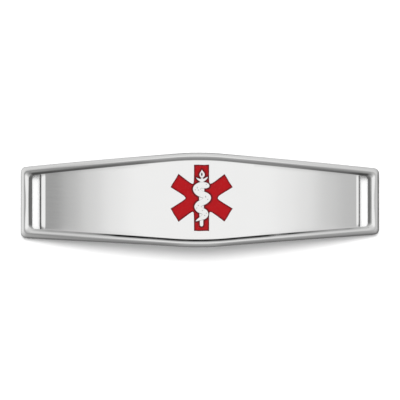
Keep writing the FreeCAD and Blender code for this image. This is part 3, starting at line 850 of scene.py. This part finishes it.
def red_enamel(finishes):
    """Glossy opaque red: darker in a thin line of painted shade where it meets the metal, with a slightly
    cloudy body and a faint ripple in its surface."""
    material, tree, shader = new_material("red_enamel")
    places = node(tree, "TexCoord", (-6, 0)).outputs["Object"]
    enamel = np.array(finishes.enamel)
    body = mix_node(tree, (-1, 2), noise(tree, (-4, 2), places, 1500.0, 4.0),
                    (*(enamel * 0.86), 1), (*np.minimum(enamel * 1.12, 1), 1))
    # Painted shade: the edge attribute darkens the enamel next to the metal.
    edge = node(tree, "Attribute", (-2, 4), attribute_name="edge").outputs["Fac"]
    mixed = mix_node(tree, (2, 2), edge, body, (*finishes.enamel_edge_shade, 1))
    plug(tree, shader.inputs["Base Color"], mixed)
    plug(tree, shader.inputs["Normal"], bump(tree, noise(tree, (-2, -2), places, 900.0, 2.0), 0.05))
    plug(tree, shader.inputs["Roughness"], 0.2)
    plug(tree, shader.inputs["Specular IOR Level"], 0.13)
    return material


class BRACELET_OT_plate(bpy.types.Operator):
    """Builds the casting: arched strip, rim, end bars, slots and sunk star"""
    bl_idname = "bracelet.plate"
    bl_label = "Plate"

    def execute(self, context):
        sizes, star = context.scene.plate_sizes, context.scene.star_sizes
        mesh = sewn("plate_casting", grid_patches(sizes, star) + star_recess(sizes, star))
        # Painted shade: the attribute darkens the rim's foot, the slots' lips and the star's wall.
        add_shade(mesh, "painted_shade", lambda places: painted_crease_shade(sizes, places))
        add_piece("plate_casting", mesh, "plate", polished_silver(context.scene.finishes))
        return {"FINISHED"}


class BRACELET_OT_relief(bpy.types.Operator):
    """Builds the staff, its bud and leaves, and the serpent"""
    bl_idname = "bracelet.relief"
    bl_label = "Staff and serpent"

    def execute(self, context):
        sizes, star = context.scene.plate_sizes, context.scene.star_sizes
        floor = -sizes.rim_rise - star.depth
        low_x, high_x, low_y, high_y = RELIEF_REACH
        x = straight(low_x, high_x, round((high_x - low_x) / RELIEF_STEP))
        y = straight(low_y, high_y, round((high_y - low_y) / RELIEF_STEP))
        plan = np.stack(np.meshgrid(x, y), axis=-1)
        crown = (star.relief_rise - sizes.rim_rise) / MM
        rise = relief_height(plan.reshape(-1, 2), floor / MM, crown).reshape(plan.shape[:2]) * MM
        plan = plan * MM + star_centre(star)
        top = on_arch(sizes, plan[..., 0], plan[..., 1], rise)
        under = on_arch(sizes, plan[..., 0], plan[..., 1], floor - FLOOR_OVERLAP)
        skirts = [np.stack([top[0], under[0]]), np.stack([top[-1], under[-1]]),
                  np.stack([top[:, 0], under[:, 0]]), np.stack([top[:, -1], under[:, -1]])]
        mesh = sewn("staff_and_serpent", [(grid, False) for grid in (top, under, *skirts)])
        # Painted shade: the relief's flanks below the face are darkened into a dark outline.
        add_shade(mesh, "painted_shade", lambda places: painted_sunk_shade(sizes, rise_at(sizes, places)))
        add_piece("staff_and_serpent", mesh, "plate", bpy.data.materials["polished_silver"])
        return {"FINISHED"}


class BRACELET_OT_enamel(bpy.types.Operator):
    """Fills the sunk star with red enamel"""
    bl_idname = "bracelet.enamel"
    bl_label = "Enamel"

    def execute(self, context):
        sizes, star = context.scene.plate_sizes, context.scene.star_sizes
        rings = shrinking(star_points(star, ENAMEL_GAP), star_centre(star), ENAMEL_RINGS)
        near = edge_nearness(star, rings.reshape(-1, 2), MENISCUS_WIDTH).reshape(rings.shape[:2])
        level = -sizes.rim_rise - star.enamel_drop
        top = on_arch(sizes, rings[..., 0], rings[..., 1], level - MENISCUS_DROP * near)
        bottom = on_arch(sizes, rings[..., 0], rings[..., 1], -sizes.rim_rise - star.depth + ENAMEL_FLOOR_GAP)
        wall = np.array([top[0], bottom[0]])
        mesh = sewn("star_enamel_fill", [(top, True), (bottom[::UNDERSIDE_STEP], True), (wall, True)])
        # Painted shade: the edge attribute darkens the enamel next to the metal and the relief.
        add_shade(mesh, "edge", lambda places: edge_nearness(star, places[:, :2], ENAMEL_EDGE_SHADE_WIDTH))
        add_piece("star_enamel_fill", mesh, "star_enamel", red_enamel(context.scene.finishes))
        return {"FINISHED"}


# The light that each direction of the studio gives: degrees from straight up, and tone.
TOWARDS_LEFT = [(0, 0.93), (16, 0.93), (22, 0.85), (28, 0.68), (33, 0.49), (37.5, 0.32), (47, 0.31),
                (56, 0.62), (66, 0.8), (98, 0.78), (116, 0.4), (132, 0.14), (180, 0.12)]
TOWARDS_RIGHT = [(0, 0.93), (17, 0.93), (22, 0.88), (27, 0.8), (33, 0.62), (38, 0.52), (46, 0.5), (56, 0.64),
                 (66, 0.6), (80, 0.42), (95, 0.12), (180, 0.12)]
TOWARDS_BACK = [(0, 0.93), (16, 0.92), (28, 0.76), (50, 0.7), (78, 0.66), (100, 0.58), (140, 0.5), (180, 0.4)]
TOWARDS_FAR_BACK = [(0, 0.93), (16, 0.92), (28, 0.74), (50, 0.68), (76, 0.62), (84, 0.04), (104, 0.03),
                    (118, 0.5), (180, 0.4)]
TOWARDS_FRONT = [(0, 0.93), (11, 0.9), (20, 0.56), (34, 0.38), (50, 0.24), (80, 0.17), (92, 0.13),
                 (120, 0.17), (180, 0.13)]
TOWARDS_FAR_FRONT = [(0, 0.93), (11, 0.9), (20, 0.6), (34, 0.44), (50, 0.33), (80, 0.27), (92, 0.24),
                     (120, 0.2), (180, 0.15)]

# Studio: the share of a direction's level part that lies across the plate from which it
# counts as far, the extra light for matt surfaces, and the tone behind everything.
FAR_SHARES = (0.955, 0.985)
ACROSS_POWER = 0.45
EXTRA_FILL = 0.45
BACKDROP = (0.9, 0.9, 0.9, 1)
FLOOR_REACH = 0.6
FLOOR_TONES = (0.89, 0.91)
SUN_STRENGTH = 2.1
SUN_SPREAD = math.radians(23)
SUN_TILT = math.radians(-11.5)
CAMERA_DISTANCE = 1.4
CAMERA_ELEVATION = math.radians(87.5)
FRAME_WIDTH = 400 / 7.80 * MM
AIM = np.array([0.0, 0.0, 5 * MM])


def tone_ramp(tree, table, place, turn):
    """A colour ramp over the angle from straight up, 0 to 180 degrees."""
    ramp = node(tree, "ValToRGB", place, Fac=turn)
    ramp.color_ramp.interpolation = "EASE"
    elements = ramp.color_ramp.elements
    for number, (degrees, tone) in ((0, table[0]), (1, table[-1])):
        elements[number].position = degrees / 180
        elements[number].color = (tone, tone, tone, 1)
    for degrees, tone in table[1:-1]:
        elements.new(degrees / 180).color = (tone, tone, tone, 1)
    return ramp.outputs["Color"]


def studio_world():
    """A tent of soft light: ramps over the angle from straight up, for left, right, back and
    front, weighted by the squares of the direction's level parts. Straight behind the plate
    the tent has a dark gap at its foot."""
    world = bpy.data.worlds.new("studio")
    world.use_nodes = True
    tree = world.node_tree
    tree.nodes.clear()
    coordinates = node(tree, "TexCoord", (-8, 0))
    parts = node(tree, "SeparateXYZ", (-6, 0), Vector=coordinates.outputs["Generated"])
    x, y, z = parts.outputs
    turn = math_node(tree, "DIVIDE", (-2, 2), math_node(tree, "ARCCOSINE", (-4, 2), z), math.pi)
    along = math_node(tree, "MULTIPLY", (-4, -1), x, x)
    across = math_node(tree, "MULTIPLY", (-4, -2), y, y)
    level = math_node(tree, "MAXIMUM", (-2, -1), math_node(tree, "ADD", (-3, -1), along, across), 1e-6)
    share = math_node(tree, "DIVIDE", (-1, -1), across, level)
    weight = math_node(tree, "POWER", (0, -1), share, ACROSS_POWER)
    behind = math_node(tree, "GREATER_THAN", (-1, -3), y, 0.0)
    rightwards = math_node(tree, "GREATER_THAN", (-1, -4), x, 0.0)
    far = node(tree, "MapRange", (-1, -5), interpolation_type="SMOOTHSTEP", Value=share,
               **{"From Min": FAR_SHARES[0], "From Max": FAR_SHARES[1]}).outputs["Result"]
    tables = (TOWARDS_LEFT, TOWARDS_RIGHT, TOWARDS_BACK, TOWARDS_FAR_BACK, TOWARDS_FRONT, TOWARDS_FAR_FRONT)
    ramps = [tone_ramp(tree, table, (0, 4 - number), turn) for number, table in enumerate(tables)]
    sides = mix_node(tree, (3, 4), rightwards, *ramps[:2])
    back, front = mix_node(tree, (2, 2), far, *ramps[2:4]), mix_node(tree, (2, -1), far, *ramps[4:])
    mixed = mix_node(tree, (4, 0), weight, sides, mix_node(tree, (3, 0), behind, front, back))
    rays = node(tree, "LightPath", (3, -3))
    seen = mix_node(tree, (5, 0), rays.outputs["Is Camera Ray"], mixed, BACKDROP)
    fill = math_node(tree, "MULTIPLY_ADD", (5, -3), rays.outputs["Is Diffuse Ray"], EXTRA_FILL, 1.0)
    background = node(tree, "Background", (6, 0), Color=seen, Strength=fill)
    node(tree, "OutputWorld", (8, 0), Surface=background.outputs[0])
    bpy.context.scene.world = world


def pale_floor():
    mesh = bpy.data.meshes.new("floor")
    signs = ((-1, -1), (1, -1), (1, 1), (-1, 1))
    mesh.from_pydata([(x * FLOOR_REACH, y * FLOOR_REACH, 0) for x, y in signs], [], [(0, 1, 2, 3)])
    material, tree, shader = new_material("pale_floor")
    grain = noise(tree, (-2, 0), node(tree, "TexCoord", (-4, 0)).outputs["Object"], 800.0, 3.0)
    dark, light = ((tone, tone, tone, 1) for tone in FLOOR_TONES)
    plug(tree, shader.inputs["Base Color"], mix_node(tree, (0, 0), grain, dark, light))
    plug(tree, shader.inputs["Roughness"], 0.9)
    plug(tree, shader.inputs["Specular IOR Level"], 0.0)
    mesh.materials.append(material)
    return linked("floor", mesh)


class BRACELET_OT_studio(bpy.types.Operator):
    """Sets the pale floor, the soft light and the camera"""
    bl_idname = "bracelet.studio"
    bl_label = "Floor, light and camera"

    def execute(self, context):
        scene = context.scene
        scene.view_settings.view_transform = "Standard"
        studio_world()
        floor = pale_floor()
        floor.visible_glossy = False

        sun = bpy.data.lights.new("soft_sun", "SUN")
        sun.energy = SUN_STRENGTH
        sun.angle = SUN_SPREAD
        light = linked("soft_sun", sun)
        light.rotation_euler = (SUN_TILT, 0, 0)
        light.visible_glossy = False

        camera = bpy.data.cameras.new("camera")
        camera.lens = camera.sensor_width * CAMERA_DISTANCE / FRAME_WIDTH
        camera.clip_start = 0.01
        camera.clip_end = 10
        view = linked("camera", camera)
        towards = np.array([0, -math.cos(CAMERA_ELEVATION), math.sin(CAMERA_ELEVATION)])
        view.location = AIM + CAMERA_DISTANCE * towards
        view.rotation_euler = (math.pi / 2 - CAMERA_ELEVATION, 0, 0)
        scene.camera = view
        return {"FINISHED"}


class BRACELET_PT_panel(bpy.types.Panel):
    bl_idname = "BRACELET_PT_panel"
    bl_label = "Bracelet plate"
    bl_space_type = "VIEW_3D"
    bl_region_type = "UI"
    bl_category = "Bracelet"

    def draw(self, context):
        for group in (context.scene.plate_sizes, context.scene.star_sizes, context.scene.finishes):
            for name in type(group).__annotations__:
                self.layout.prop(group, name)
        for operator in OPERATORS:
            self.layout.operator(operator.bl_idname)


GROUPS = {"plate_sizes": PlateSizes, "star_sizes": StarSizes, "finishes": Finishes}
OPERATORS = (BRACELET_OT_plate, BRACELET_OT_relief, BRACELET_OT_enamel, BRACELET_OT_studio)
CLASSES = (*GROUPS.values(), *OPERATORS, BRACELET_PT_panel)


def register():
    for kind in CLASSES:
        bpy.utils.register_class(kind)
    for name, group in GROUPS.items():
        setattr(bpy.types.Scene, name, PointerProperty(type=group))


def unregister():
    for name in GROUPS:
        delattr(bpy.types.Scene, name)
    for kind in reversed(CLASSES):
        bpy.utils.unregister_class(kind)


def main():
    register()
    for name in ("plate", "relief", "enamel", "studio"):
        getattr(bpy.ops.bracelet, name)()


if __name__ == "__main__":
    main()
